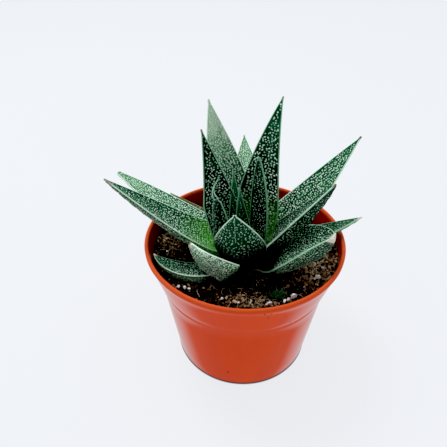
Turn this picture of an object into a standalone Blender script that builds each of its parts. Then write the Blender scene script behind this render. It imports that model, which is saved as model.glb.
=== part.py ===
"""A young gasteraloe in a round nursery pot, in metres with +Z up.

The origin is the middle of the pot's underside, on the surface that it stands on. The front of
the plant, with the broad short leaf, faces -Y.
"""
import math
import random
from collections import namedtuple

import bmesh
import bpy
from mathutils import Vector
from mathutils.bvhtree import BVHTree

MM = 0.001
GAP = 0.3 * MM              # clearance between neighbouring pieces
MERGE = 0.001 * MM          # points closer than this become one

# Pot: a flared collar on a slimmer tapered body, with a ringed foot
POT_HEIGHT = 66 * MM
RIM_RADIUS = 45 * MM
LIP_WIDTH = 1.7 * MM
LIP_HEIGHT = 1.6 * MM
COLLAR_BOTTOM = 47 * MM     # height of the collar's lower edge
COLLAR_RADIUS = 39.7 * MM   # outer radius there
COLLAR_STEP = 0.6 * MM      # how far the collar stands out from the body
FOOT_RADIUS = 33 * MM
FOOT_ROUND = 1.2 * MM
WALL = 1.2 * MM
FOOT_RING_WIDTH = 3 * MM    # the outer ring that the pot stands on
CENTRE_RADIUS = 10 * MM     # the flat disc in the middle that it also stands on
CHANNEL_DEPTH = 2 * MM      # the raised ring between them
POT_SIDES = 44
DRAIN_HOLES = 6
DRAIN_RADIUS = 4 * MM
DRAIN_DISTANCE = 20 * MM
DRAIN_SIDES = 16
LIP_POINTS = 6
FOOT_POINTS = 3

# Soil: it fills the pot to 1 cm below the rim, and is crumbly on top
SOIL_LEVEL = 55.5 * MM
SOIL_DISH = 1.5 * MM        # how much lower the soil lies round the stem
DISH_RADIUS = 15 * MM
SOIL_RINGS = 12
RING_SHIFT = 1.2            # how fast the rings round the stem give way to rings round the pot
CRUMB_HEIGHT = 1.8 * MM
CRUMB_HOLLOW = 0.3          # how deep a crumb may be sunk, as a share of that height
CRUMB_SHARE = 0.5           # share of the faces that have a crumb
UNEVEN = 0.9 * MM
SOIL_WAVES = ((310, 270, 1.3), (190, 530, 0), (310, -270, 1.3))  # x and y in radians a metre
UNDER_LEAF = 0.5 * MM       # how far the soil stays below a leaf that lies on it
BESIDE_LEAF = (0, 1.2 * MM, 2.4 * MM)
BESIDE_DIRECTIONS = 12
SOIL_SEED = 7

# Stem: short and thick, hidden by the leaf bases
STEM_X, STEM_Y = 2 * MM, -2 * MM
STEM_BOTTOM = 40 * MM
STEM_TOP = 66 * MM
STEM_RADIUS = 6 * MM
STEM_SIDES = 20
STEM_TAPER = 0.8            # the lower end's radius, as a share
DOME_POINTS = 5

# Leaves: thick, channelled above and keeled below, covered in tubercles
TUBERCLE = 0.6 * MM         # height of a raised tubercle
TUBERCLE_PITCH = 4.0 * MM   # grid that a full-size tubercle sits in
EDGE = 0.7 * MM             # thickness of the blunt margin
CHANNEL = 0.18              # depth of the upper face, as a share of half the width
KEEL_FOOT, KEEL_TIP = 0.25, 0.85    # how sharp the keel is at each end, from round to a ridge
FULL_DEPTH = 0.75           # where the blade is thickest, as a share of the length from the tip
DEPTH_POWER = 0.8
FOOT_NARROWER = 0.3         # how much narrower the foot is than the blade, as a share
FOOT_THINNER = 0.35         # how much thinner it is
FOOT_SHARE = 0.3            # and over what share of the length
LAST_RING = 0.98            # where the last ring's width is taken, short of the tip
ROWS = 15
UPPER_CELLS = 4
LOWER_CELLS = 4
YOUNG_ROWS = 9
YOUNG_CELLS = 2
PLAIN_ROWS = 2              # rows at the foot, hidden by other leaves, without tubercles

# heading, swing, rise and roll are in degrees, sizes in millimetres. foot gives the leaf's start:
# direction and distance from the stem's axis, and height. rise turns from its first value to its
# second, faster near the foot the larger bend is; heading turns by swing. full is how far from
# the tip the blade is at full width, as a share of the length, and cut is the share lost there.
Leaf = namedtuple(
    "Leaf",
    "name heading rise length width foot thick swing roll bend full taper cut young",
    defaults=(6.5, 0, 0, 4, 0.8, 1.35, 0, False),
)

LEAVES = (  # from the heart of the plant outwards: each one clasps those before it
    Leaf("leaf_young_small", 182, (77.5, 88), 31.4, 7.1, (253, 2.3, 63), 2, roll=70.5, bend=1,
         taper=1.5, young=True),
    Leaf("leaf_young_middle", 104, (87, 68.5), 32.2, 5.9, (176, 6, 65), 2.5, bend=1,
         taper=1.75, young=True),
    Leaf("leaf_young_right", 72, (88, 103), 46.5, 9, (341, 4.1, 64), 3, roll=18.5, bend=1,
         taper=2.45, cut=0.03, young=True),
    Leaf("leaf_young_left", 234.5, (84, 79), 28, 9.3, (204.5, 12, 64), 2.5, roll=-4.5, bend=1,
         taper=2.4, cut=0.13, young=True),
    Leaf("leaf_upright_left", 168.5, (82, 76), 57.3, 14.5, (178.5, 9.4, 61), 5, roll=54, bend=1,
         full=0.57, taper=0.95),
    Leaf("leaf_upright_right", 56, (92, 59.5), 66.5, 19.7, (64.5, 6, 61), 6, roll=-16, bend=1,
         full=0.73, taper=1.2),
    Leaf("leaf_upright_back", 134.5, (64, 72), 66, 20.3, (104, 8, 59), 6, roll=8.5, bend=1,
         full=0.6),
    Leaf("leaf_front_middle", 254.5, (33, 69), 39.3, 22.3, (230, 1.8, 58.2), 6.2, roll=-10.5,
         full=0.57, taper=1.5),
    Leaf("leaf_right_middle", 354.4, (55.5, 50), 48.7, 19.7, (353, 3, 60), 6.9, roll=7,
         full=0.91, taper=1.23),
    Leaf("leaf_left_long", 182, (8, 36), 66, 19, (180, 4, 63)),
    Leaf("leaf_right_long", 24, (28, 49), 67, 21, (25, 3, 60), roll=-15),
    Leaf("leaf_left_behind", 158, (5, 22), 68, 17, (158, 4, 61), taper=2, cut=0.04),
    Leaf("leaf_back_middle", 95, (10, 30), 62, 18, (78, 4, 60), roll=4, full=0.64, taper=1.7),
    Leaf("leaf_front_left", 159, (2, 34.5), 25.5, 22.3, (263.5, 15.7, 63.1), 7, swing=5,
         roll=-43.5, bend=0.51, full=0.43, taper=1.85, cut=0.04),
    Leaf("leaf_front_right", 353, (27, 38), 39.2, 25.5, (322, 6, 60), 10, swing=-43, roll=-10,
         bend=5, taper=2.7, cut=0.05),
    Leaf("leaf_back_short", 144, (4, 12.7), 46, 15.8, (140, 4, 60.5), 5),
    Leaf("leaf_low_right", 8.5, (4, 21), 49, 16, (9, 4, 59.5), 5.5),
    Leaf("leaf_low_left", 218, (1, 5), 35.6, 13.5, (218.5, 13, 57.1), 6.4, swing=-83, roll=-18,
         full=0.61, taper=1.8),
    Leaf("leaf_low_back", 74, (0, 12), 38, 16, (68, 4, 60), 5.5),
    Leaf("leaf_low_back_left", 112, (0, 12), 39, 15, (112, 4, 60), 5.5),
)

# Each finish is a colour, a roughness and the angle above which an edge stays sharp
GREEN = ((0.045, 0.115, 0.06), 0.45, 25)
YOUNG_GREEN = ((0.07, 0.17, 0.08), 0.45, 25)
TERRACOTTA = ((0.55, 0.10, 0.03), 0.4, 35)
SOIL_BROWN = ((0.035, 0.02, 0.012), 0.95, 0)
STEM_GREEN = ((0.22, 0.28, 0.08), 0.6, 40)


def clear_scene():
    """Removes every object from the scene."""
    for obj in list(bpy.data.objects):
        bpy.data.objects.remove(obj, do_unlink=True)


def make_material(name, colour, roughness):
    """A plain material of one colour."""
    material = bpy.data.materials.new(name)
    material.use_nodes = True
    shader = material.node_tree.nodes["Principled BSDF"]
    shader.inputs["Base Color"].default_value = (*colour, 1)
    shader.inputs["Roughness"].default_value = roughness
    shader.inputs["Metallic"].default_value = 0
    return material


def add_object(name, bm, finish=None):
    """Makes an object of a bmesh, in a finish unless it is a cutter."""
    bmesh.ops.recalc_face_normals(bm, faces=bm.faces)
    mesh = bpy.data.meshes.new(name)
    bm.to_mesh(mesh)
    bm.free()
    if finish:
        colour, roughness, sharp = finish
        mesh.materials.append(make_material(name, colour, roughness))
        if sharp:
            mesh.shade_smooth()
            mesh.set_sharp_from_angle(angle=math.radians(sharp))
    obj = bpy.data.objects.new(name, mesh)
    bpy.context.collection.objects.link(obj)
    return obj


def arc(centre, radius, start, end, count):
    """Points (r, z) on an arc, from one angle in degrees to another."""
    angles = [math.radians(start + (end - start) * i / (count - 1)) for i in range(count)]
    return [(centre[0] + radius * math.cos(a), centre[1] + radius * math.sin(a)) for a in angles]


def lathe(profile, sides, centre=(0, 0)):
    """A closed body turned about a vertical axis, from a profile that starts and ends on it."""
    bm = bmesh.new()
    verts = [bm.verts.new((r, 0, z)) for r, z in profile]
    edges = [bm.edges.new(pair) for pair in zip(verts, verts[1:])]
    bmesh.ops.spin(bm, geom=verts + edges, axis=(0, 0, 1), cent=(0, 0, 0), dvec=(0, 0, 0),
                   steps=sides, angle=2 * math.pi, use_merge=True)
    bmesh.ops.remove_doubles(bm, verts=bm.verts, dist=MERGE)
    bmesh.ops.translate(bm, verts=bm.verts, vec=(*centre, 0))
    return bm


# Pot

def wall_radius(z):
    """The pot's outer radius at a height."""
    if z > COLLAR_BOTTOM:
        share = (z - COLLAR_BOTTOM) / (POT_HEIGHT - LIP_HEIGHT - COLLAR_BOTTOM)
        return COLLAR_RADIUS + (RIM_RADIUS - COLLAR_RADIUS) * min(share, 1)
    below = COLLAR_RADIUS - COLLAR_STEP
    return FOOT_RADIUS + (below - FOOT_RADIUS) * z / COLLAR_BOTTOM


def inner_profile(inset):
    """The pot's inside, from the rim down and in to the axis, moved in by an inset."""
    wall = WALL + inset
    ring = FOOT_RADIUS - FOOT_RING_WIDTH
    return [
        (wall_radius(COLLAR_BOTTOM + COLLAR_STEP) - wall, COLLAR_BOTTOM),
        (wall_radius(wall) - wall, wall),
        (ring, wall),
        (ring - WALL, CHANNEL_DEPTH + wall),
        (CENTRE_RADIUS + WALL, CHANNEL_DEPTH + wall),
        (CENTRE_RADIUS, wall),
        (0, wall),
    ]


def outer_profile():
    """The pot's outside, from the axis out over the foot and up to the rim."""
    ring = FOOT_RADIUS - FOOT_RING_WIDTH
    bead = LIP_WIDTH / 2
    lip = arc((RIM_RADIUS - bead, POT_HEIGHT - bead), bead, 0, 180, LIP_POINTS)
    return [
        (0, 0),
        (CENTRE_RADIUS, 0),
        (CENTRE_RADIUS + WALL, CHANNEL_DEPTH),
        (ring - WALL, CHANNEL_DEPTH),
        (ring, 0),
        *arc((FOOT_RADIUS - FOOT_ROUND, FOOT_ROUND), FOOT_ROUND, -90, 0, FOOT_POINTS),
        (wall_radius(COLLAR_BOTTOM - COLLAR_STEP), COLLAR_BOTTOM - COLLAR_STEP),
        (COLLAR_RADIUS, COLLAR_BOTTOM),
        (RIM_RADIUS, POT_HEIGHT - LIP_HEIGHT),
        *lip,
        (RIM_RADIUS - LIP_WIDTH, POT_HEIGHT - LIP_HEIGHT),
    ]


def make_pot():
    """The pot, with drain holes through the raised ring of its floor."""
    pot = add_object("pot", lathe(outer_profile() + inner_profile(0), POT_SIDES), TERRACOTTA)
    cutters = bpy.data.collections.new("drain_cutters")
    for i in range(DRAIN_HOLES):
        turn = 2 * math.pi * i / DRAIN_HOLES
        bm = bmesh.new()
        bmesh.ops.create_cone(bm, cap_ends=True, segments=DRAIN_SIDES, radius1=DRAIN_RADIUS,
                              radius2=DRAIN_RADIUS, depth=4 * CHANNEL_DEPTH)
        where = (DRAIN_DISTANCE * math.cos(turn), DRAIN_DISTANCE * math.sin(turn), CHANNEL_DEPTH)
        bmesh.ops.translate(bm, verts=bm.verts, vec=where)
        cutters.objects.link(hidden(add_object(f"drain_cutter_{i}", bm)))
    cut_by(pot, cutters)


# Cutting one piece by others

def hidden(obj):
    """Marks an object as a cutter, which isn't part of the model."""
    obj.hide_render = True
    obj.display_type = "WIRE"
    return obj


def cut_by(obj, cutters):
    """Takes a collection's bodies out of an object, keeps its largest body, drops the cutters."""
    cut = obj.modifiers.new("cut", "BOOLEAN")
    cut.operation = "DIFFERENCE"
    cut.operand_type = "COLLECTION"
    cut.collection = cutters
    evaluated = obj.evaluated_get(bpy.context.evaluated_depsgraph_get())
    bm = bmesh.new()
    bm.from_mesh(evaluated.to_mesh())
    evaluated.to_mesh_clear()
    obj.modifiers.clear()
    bmesh.ops.triangulate(bm, faces=bm.faces)
    keep_largest(bm)
    bm.to_mesh(obj.data)
    bm.free()
    for cutter in list(cutters.objects):
        bpy.data.objects.remove(cutter, do_unlink=True)
    bpy.data.collections.remove(cutters)


def keep_largest(bm):
    """Deletes every body of a bmesh but the one with the most faces."""
    left = set(bm.verts)
    bodies = []
    while left:
        front = [left.pop()]
        body = set(front)
        while front:
            vert = front.pop()
            near = {edge.other_vert(vert) for edge in vert.link_edges} & left
            left -= near
            body |= near
            front.extend(near)
        bodies.append(body)
    largest = max(bodies, key=lambda body: sum(len(vert.link_faces) for vert in body))
    bmesh.ops.delete(bm, geom=[v for v in bm.verts if v not in largest], context="VERTS")


# Leaves

def leaf_frames(leaf, count):
    """Points along a leaf's middle, each with its across and up directions, foot to tip."""
    direction, distance, height = leaf.foot
    turn = math.radians(direction)
    point = Vector((STEM_X + distance * MM * math.cos(turn),
                    STEM_Y + distance * MM * math.sin(turn), height * MM))
    step = leaf.length * MM / (count - 1)
    frames = []
    for i in range(count):
        t = i / (count - 1)
        rise = math.radians(leaf.rise[1] + (leaf.rise[0] - leaf.rise[1]) * (1 - t) ** leaf.bend)
        heading = math.radians(leaf.heading + leaf.swing * t)
        flat = Vector((math.cos(heading), math.sin(heading), 0))
        along = flat * math.cos(rise) + Vector((0, 0, math.sin(rise)))
        if frames:
            point = point + (along + frames[-1][3]) * (step / 2)
        up = Vector((0, 0, math.cos(rise))) - flat * math.sin(rise)
        across = along.cross(up)
        roll = math.radians(leaf.roll)
        turned = across * math.cos(roll) + up * math.sin(roll)
        up = up * math.cos(roll) - across * math.sin(roll)
        frames.append((point.copy(), turned, up, along))
    return frames


def half_width(leaf, t):
    """Half the blade's width at a share of its length: a long taper and a narrower foot."""
    u = leaf.cut + (1 - leaf.cut) * (1 - t)
    width = 1 - (1 - min(u / leaf.full, 1)) ** leaf.taper
    if u > leaf.full:
        width *= 1 - FOOT_NARROWER * ((u - leaf.full) / (1 - leaf.full)) ** 2
    return leaf.width * MM / 2 * width


def thickness(leaf, t):
    """The blade's depth at a share of its length."""
    u = leaf.cut + (1 - leaf.cut) * (1 - t)
    depth = math.sin(math.pi / 2 * min(u / FULL_DEPTH, 1)) ** DEPTH_POWER
    return leaf.thick * MM * depth * (1 - FOOT_THINNER * max(0, 1 - t / FOOT_SHARE) ** 2)


def leaf_ring(leaf, frame, t, upper, lower, grow):
    """One cross-section: the channelled upper face, then the keeled lower one."""
    middle, across, up, _ = frame
    half = half_width(leaf, t) + grow
    deep = thickness(leaf, t)
    keel = KEEL_FOOT + (KEEL_TIP - KEEL_FOOT) * t
    ring = []
    for j in range(upper + 1):
        s = 2 * j / upper - 1
        ring.append(middle + across * half * s
                    + up * (EDGE / 2 + grow - CHANNEL * half * (1 - s * s)))
    for j in range(lower + 1):
        q = 1 - 2 * j / lower
        angle = math.pi / 2 * (1 - abs(q))
        s = math.copysign(math.cos(angle), q)
        inward = 1 - abs(s)
        drop = deep * ((1 - keel) * math.sin(angle) + keel * inward)
        dip = CHANNEL * half * (1 - s * s)
        ring.append(middle + across * half * s - up * (EDGE / 2 + grow + dip + drop))
    return ring


def leaf_bmesh(leaf, rough, grow=0.0):
    """A leaf's closed body. rough raises its tubercles; grow makes it larger, to cut others."""
    rows = YOUNG_ROWS if leaf.young else ROWS
    upper = YOUNG_CELLS if leaf.young else UPPER_CELLS
    lower = 2 * YOUNG_CELLS if leaf.young else LOWER_CELLS
    frames = leaf_frames(leaf, rows + 1)
    if grow:
        point, across, up, along = frames[0]
        frames[0] = (point - along * grow, across, up, along)
    bm = bmesh.new()
    rings = []
    for i, frame in enumerate(frames):
        t = min(i / rows, LAST_RING)
        rings.append([bm.verts.new(p) for p in leaf_ring(leaf, frame, t, upper, lower, grow)])
    count = len(rings[0])
    for i, (ring, after) in enumerate(zip(rings, rings[1:])):
        core = frames[i][0] - frames[i][2] * thickness(leaf, i / rows) / 2
        for j in range(count):
            k = (j + 1) % count
            quad = (ring[j], after[j], after[k], ring[k])
            on_face = j != upper and j != count - 1
            if rough and on_face and i >= PLAIN_ROWS:
                raised_cell(bm, quad, (i + j) % 2, core)
            else:
                bm.faces.new(quad)
    bm.faces.new(reversed(rings[0]))
    point, _, _, along = frames[-1]
    tip = bm.verts.new(point + along * (EDGE / 2 + grow))
    for j in range(count):
        bm.faces.new((rings[-1][j], tip, rings[-1][(j + 1) % count]))
    return bm


def raised_cell(bm, quad, odd, core):
    """Fills a cell of the blade with two triangles, one of them raised to a tubercle."""
    a, b, c, d = quad
    raised, plain = ((a, b, d), (b, c, d)) if odd else ((a, b, c), (a, c, d))
    bm.faces.new(plain)
    centre = (raised[0].co + raised[1].co + raised[2].co) / 3
    normal = (raised[1].co - raised[0].co).cross(raised[2].co - raised[0].co)
    size = math.sqrt(normal.length)
    normal.normalize()
    if normal.dot(centre - core) < 0:
        normal.negate()
    peak = bm.verts.new(centre + normal * TUBERCLE * min(size / TUBERCLE_PITCH, 1))
    for one, other in zip(raised, raised[1:] + raised[:1]):
        bm.faces.new((one, other, peak))


def make_leaves():
    """Every leaf, each cut clear of the stem and of the leaves inside it."""
    clear = TUBERCLE + GAP
    for i, leaf in enumerate(LEAVES):
        green = YOUNG_GREEN if leaf.young else GREEN
        obj = add_object(leaf.name, leaf_bmesh(leaf, rough=True), green)
        cutters = bpy.data.collections.new("leaf_cutters")
        stem = add_object("stem_cutter", stem_bmesh(GAP))
        cutters.objects.link(hidden(stem))
        for inner in LEAVES[:i]:
            cutter = add_object(f"{inner.name}_cutter", leaf_bmesh(inner, rough=False, grow=clear))
            cutters.objects.link(hidden(cutter))
        cut_by(obj, cutters)


# Stem and soil

def stem_bmesh(grow=0.0):
    """The short stem: it swells above the soil and ends in a dome."""
    radius = STEM_RADIUS + grow
    dome = arc((0, STEM_TOP - STEM_RADIUS), radius, 0, 90, DOME_POINTS)
    profile = [(0, STEM_BOTTOM - grow), (STEM_TAPER * radius, STEM_BOTTOM - grow), *dome]
    profile[-1] = (0, STEM_TOP + grow)
    return lathe(profile, STEM_SIDES, (STEM_X, STEM_Y))


def make_stem():
    add_object("stem", stem_bmesh(), STEM_GREEN)


def soil_height(x, y):
    """The soil's height where no leaf lies on it: uneven, and dished round the stem."""
    waves = [math.sin(a * x + b * y + c) for a, b, c in SOIL_WAVES]
    height = SOIL_LEVEL + UNEVEN * sum(waves) / len(waves)
    from_stem = math.hypot(x - STEM_X, y - STEM_Y)
    return height - SOIL_DISH * math.exp(-(from_stem / DISH_RADIUS) ** 2)


def pressed_down(x, y, height, leaves_above):
    """A height in the soil, lowered where leaves lie over it or close beside it."""
    for distance in BESIDE_LEAF:
        for i in range(BESIDE_DIRECTIONS if distance else 1):
            turn = 2 * math.pi * i / BESIDE_DIRECTIONS
            start = (x + distance * math.cos(turn), y + distance * math.sin(turn), STEM_BOTTOM)
            hit = leaves_above.ray_cast(Vector(start), Vector((0, 0, 1)))[0]
            if hit:
                height = min(height, hit.z - UNDER_LEAF)
    return height


def leaves_tree():
    """All the leaves, to measure the height of the lowest one above a point."""
    bm = bmesh.new()
    for leaf in LEAVES:
        bm.from_mesh(bpy.data.objects[leaf.name].data)
    tree = BVHTree.FromBMesh(bm)
    bm.free()
    return tree


def make_soil():
    """The soil: one body from the pot's floor up, with a plain hole for the stem."""
    hole = STEM_RADIUS + GAP
    top_radius = wall_radius(SOIL_LEVEL) - WALL - 2 * GAP
    rings = [hole + (top_radius - hole) * i / SOIL_RINGS for i in range(SOIL_RINGS + 1)]
    profile = [(0, STEM_BOTTOM - GAP), (hole, STEM_BOTTOM - GAP)]
    profile += [(r, SOIL_LEVEL) for r in rings]
    bm = lathe(profile + inner_profile(GAP), POT_SIDES)
    leaves_above = leaves_tree()
    top = [v for v in bm.verts if abs(v.co.z - SOIL_LEVEL) < GAP / 10]
    for vert in bm.verts:
        from_middle = math.hypot(vert.co.x, vert.co.y)
        if vert.co.z > STEM_BOTTOM - 2 * GAP and from_middle < top_radius:
            shift = min(1, RING_SHIFT * (1 - from_middle / top_radius))
            vert.co += Vector((STEM_X, STEM_Y, 0)) * shift
    for vert in top:
        vert.co.z = soil_height(vert.co.x, vert.co.y)
    top = add_crumbs(bm, set(top))
    for vert in top:
        vert.co.z = pressed_down(*vert.co, leaves_above)
    add_object("soil", bm, SOIL_BROWN)


def add_crumbs(bm, top):
    """Raises crumbs from the faces of the soil's top, and gives all its points."""
    draw = random.Random(SOIL_SEED)
    faces = [f for f in bm.faces if all(v in top for v in f.verts)]
    chosen = [f for f in faces if draw.random() < CRUMB_SHARE]
    made = bmesh.ops.poke(bm, faces=chosen)
    for vert in made["verts"]:
        vert.co.z += CRUMB_HEIGHT * draw.uniform(-CRUMB_HOLLOW, 1)
    return top | set(made["verts"])


def main():
    clear_scene()
    make_pot()
    make_stem()
    make_leaves()
    make_soil()


if __name__ == "__main__":
    main()
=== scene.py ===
import math
from collections import namedtuple

import bmesh
import bpy
import numpy as np
from mathutils import Matrix, Vector, noise
from mathutils.bvhtree import BVHTree


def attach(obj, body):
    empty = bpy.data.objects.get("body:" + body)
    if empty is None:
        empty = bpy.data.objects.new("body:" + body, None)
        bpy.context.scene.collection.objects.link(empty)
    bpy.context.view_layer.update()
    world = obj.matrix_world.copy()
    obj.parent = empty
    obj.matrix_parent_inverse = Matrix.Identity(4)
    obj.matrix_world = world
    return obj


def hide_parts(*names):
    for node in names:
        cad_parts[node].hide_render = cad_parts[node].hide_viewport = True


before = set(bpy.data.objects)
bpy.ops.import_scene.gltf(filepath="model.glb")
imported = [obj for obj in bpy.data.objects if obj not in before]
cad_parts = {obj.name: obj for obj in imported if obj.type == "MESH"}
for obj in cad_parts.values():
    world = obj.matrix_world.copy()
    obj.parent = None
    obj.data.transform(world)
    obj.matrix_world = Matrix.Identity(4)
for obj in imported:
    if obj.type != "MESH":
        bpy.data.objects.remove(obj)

MM = 0.001
SEED = 11                   # of the first leaf; the others and the loose things follow it
CRUMB_SEED, FIBRE_SEED, PERLITE_SEED, BARK_SEED, MOSS_SEED, SPECK_SEED = (
    SEED + 100 * i for i in range(1, 7))
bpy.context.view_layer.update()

# Pot
POT_HEIGHT = 66 * MM
RIM_RADIUS = 45 * MM
LIP_WIDTH = 1.7 * MM
LIP_HEIGHT = 1.6 * MM
COLLAR_BOTTOM = 47 * MM
COLLAR_RADIUS = 39.7 * MM
COLLAR_STEP = 0.6 * MM
FOOT_RADIUS = 33 * MM
FOOT_ROUND = 1.2 * MM
WALL = 1.2 * MM
FOOT_RING_WIDTH = 3 * MM
CENTRE_RADIUS = 10 * MM
CHANNEL_DEPTH = 2 * MM
POT_SIDES = 176
INSIDE_POINTS = 7           # points of the section between the lip's inner edge and the collar's foot
SHARP_ANGLE = 38            # in degrees: where the pot's surface turns by more, its edge is crisp
LINE_HEIGHT = 44.9 * MM     # a faint moulded line round the body, where it steps out
LINE_DEPTH = 0.08 * MM
SHEEN_SLANT = (0.67, 0.92)  # how slanting a view must be for the gloss to begin and to be full
SHEEN_RISE = (0.62, 0.74)   # the same for the rise of its strength, to SHEEN_IOR
SHEEN_IOR = 8
LIP_MATT = (62.6 * MM, 63.2 * MM)   # the heights where the gloss ends below the lip
LIP_HIGHLIGHT_HEIGHTS = (64.8 * MM, 65.4 * MM)    # the heights between which the paler top of the lip begins: a painted highlight, as where light falls on it
LIP_HIGHLIGHT_COLOUR = (0.68, 0.095, 0.026)
LIP_FLARE = ((0.75, 1.2), (0.35, 0.6), (0.05, 0.1))     # how far in from the rim, and below the
                                    # lip, the wall curves out to it, in mm
STEP_MATT = (46 * MM, 1.2 * MM, 2.2 * MM)   # the step's height, and how far from it the gloss
                                    # starts and is full
DRAIN_HOLES = 6
DRAIN_RADIUS = 4 * MM
DRAIN_DISTANCE = 20 * MM
SPECKS = (                  # of soil on its outside: direction in degrees, height and size in mm
    (-78.9, 63.6, 0.34), (-60.6, 49.7, 0.30), (-99.2, 10.7, 0.45), (-75.4, 62.9, 0.28),
    (-76.5, 59.8, 0.26), (-72, 61.5, 0.2), (-84, 61.8, 0.2), (-66, 57, 0.18),
)

# Soil
SOIL_LEVEL = 55.5 * MM
SOIL_GAP = 0.1 * MM         # between the edge of its top and the wall
SOIL_INSET = 0.3 * MM       # between its sides and the pot
SOIL_DISH = 1.5 * MM        # how much lower it is at the stem, within DISH_RADIUS
DISH_RADIUS = 15 * MM
UNEVEN = 0.9 * MM           # height of the slow waves of its top
SOIL_WAVES = (              # radians per metre in x and in y, and phase
    (310, 270, 1.3), (190, 530, 0), (310, -270, 1.3),
)
ROUGH, ROUGH_SCALE = 0.75, 260      # height in mm and number per metre of the crumbs of its top
CLODS, CLOD_SCALE = 0.9, 150        # the same of its clods
BANKS = (                   # where it stands up against the wall: direction and spread in degrees,
    (-12, 32, 5), (178, 30, 2.5),   # and height in mm
)
BANK_FROM = 31 * MM         # the radius where they start to rise
DRY_AND_PAINTED_LIGHT_PATCHES = (             # brown patches, partly dry peat and partly painted light where the soil looks lit: strength, then the middle in x and y and the spread in x and y in mm
    (1.15, 33, -7, 10, 14), (1.0, -36, 7, 7, 6), (0.75, 3, -30, 9, 4),
)
UNDER_LEAF = 0.3 * MM       # how far the soil stays below a leaf that lies on it
SOIL_RINGS = 84
SOIL_SECTORS = 288
WALL_CLEAR = 0.8 * MM       # how far loose things stay from the wall
SKIPPED_UNDER_LEAF = 0.75   # the share of them that is left out under a leaf
CRUMBS = 4600
CRUMB_RADIUS = (0.22, 0.7)  # the smallest and the largest, in mm
BIG_SHARE, BIG_CRUMB = 0.14, 1.8    # the share of the crumbs that are larger, and by what factor
FIBRES = 260
FIBRE_POINTS = 7
BARK_CHIPS = 46
FRONT_CHIP = (-1.0 * MM, -28.8 * MM)
FRONT_CHIP_RADIUS = 2.3 * MM
PERLITE = (                 # the white grains: x, y and size in mm
    (-27.6, -23.7, 1.1), (-24.6, -24.6, 0.9), (-22.6, -25.6, 0.8), (-8.4, -30.4, 0.9),
    (-1.5, -31.6, 0.7), (11.4, -31.0, 1.2), (10.0, -32.0, 0.7), (17.6, -29.4, 1.1),
    (19.2, -28.6, 0.9), (21.4, -27.8, 1.4), (32.2, -17.2, 1.5), (30.8, -17.8, 0.7),
    (34.7, -12.1, 0.9), (-35.7, -2.8, 0.6), (36.6, 3.0, 0.7), (-12.0, 33.0, 1.2), (8.0, 36.0, 1.0),
    (25.0, 26.0, 1.1), (-30.0, 19.0, 0.9),
)
MOSS_BLADES = 110
MOSS_X, MOSS_Y = 14.8 * MM, -26.8 * MM
MOSS_RADIUS = 2.6 * MM

# Stem
STEM_X, STEM_Y = 2 * MM, -2 * MM
STEM_BOTTOM = 40 * MM
STEM_TOP = 66 * MM
STEM_RADIUS = 6 * MM

# Leaves
EDGE = 0.7 * MM             # thickness of a margin
CHANNEL = 0.18              # depth of the upper face's channel, as a share of half the width
SPINE_POINTS = 201
NARROW_FOOT = 0.3           # how much narrower a foot is than the widest place, as a share of that
THIN_FOOT, THIN_TO = 0.35, 0.3      # how much thinner, and up to what share of the length
THICK_FROM = 0.75           # the share of the length, from the tip, where a leaf is thickest
KEEL_AT_FOOT, KEEL_MORE = 0.25, 0.6     # how keeled the lower face is, and how much more at the tip
EDGE_REACH = 0.85           # how far a margin stands out, as a share of half its thickness
WAVE_HEIGHT = 0.10 * MM     # of the slight unevenness of the faces
UPPER_CELLS = 20            # mesh cells across the upper face
LOWER_CELLS = 26            # across the lower face
EDGE_CELLS = 4              # across a margin
ROW_LENGTH = 0.9 * MM       # length of a cell
MARGIN_CELL = 0.3           # width of the upper face's outermost cell, as a share of the others
MARGIN_LESS_PAINTED_SHADE = 0.5          # how much less the painted shade darkens a margin
TIP_REACH = 0.47            # how far a blade's point stands beyond its spine, in edge thicknesses

# Tubercles
FIRST_ROW, ROWS_REACH = 0.015, 0.975    # where their rows start, and how far on they reach, as
COVERED = 0.985             # shares of a leaf's length, and the share that sets their number
ROW_STEP = 0.92             # distance between their rows, in spacings along a row
ROWS_MORE = 1.12            # how many more rows there are, since they close up towards the tip
CROWDING = 1.25             # above 1, they stand closer towards the tip
BARE_MARGIN = 0.35 * MM
NARROWEST = 0.3 * MM        # half the width, inside the bare margins, of the narrowest row
SMALLER_AT_TIP = (0.6, 20 * MM, 0.7)    # where half the width is w, they are 0.6 + w / 20 mm times
                            # their size, but no less than 0.7 and no more than 1
STRAY_ALONG, STRAY_ACROSS = 0.3, 0.28   # how far they stand from their places, in spacings
SIZE_VARIES = (0.78, 1.2)
SHADE_VARIES = 0.3
UPPER_STRETCH, UPPER_RISE = 1.7, 0.35   # by what factor they are stretched at most, and their
                            # height as a share of their radius
LOWER_STRETCH, LOWER_RISE = 2.2, 0.45
LOWER_DARKER = 0.08         # how much darker they are on the lower face
KEEL_STRETCH, KEEL_RISE = 1.6, 0.7
KEEL_SHADE = 0.6
KEEL_SPACING = 0.7 * MM
KEEL_RADIUS = 0.26 * MM
DOME_SIDES = 6
DOME_SINK = -0.25           # where a dome's foot stands, as a share of its height
DOME_SHOULDER = (0.74, 0.62)    # radius and height of its shoulder, as shares of its own

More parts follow.
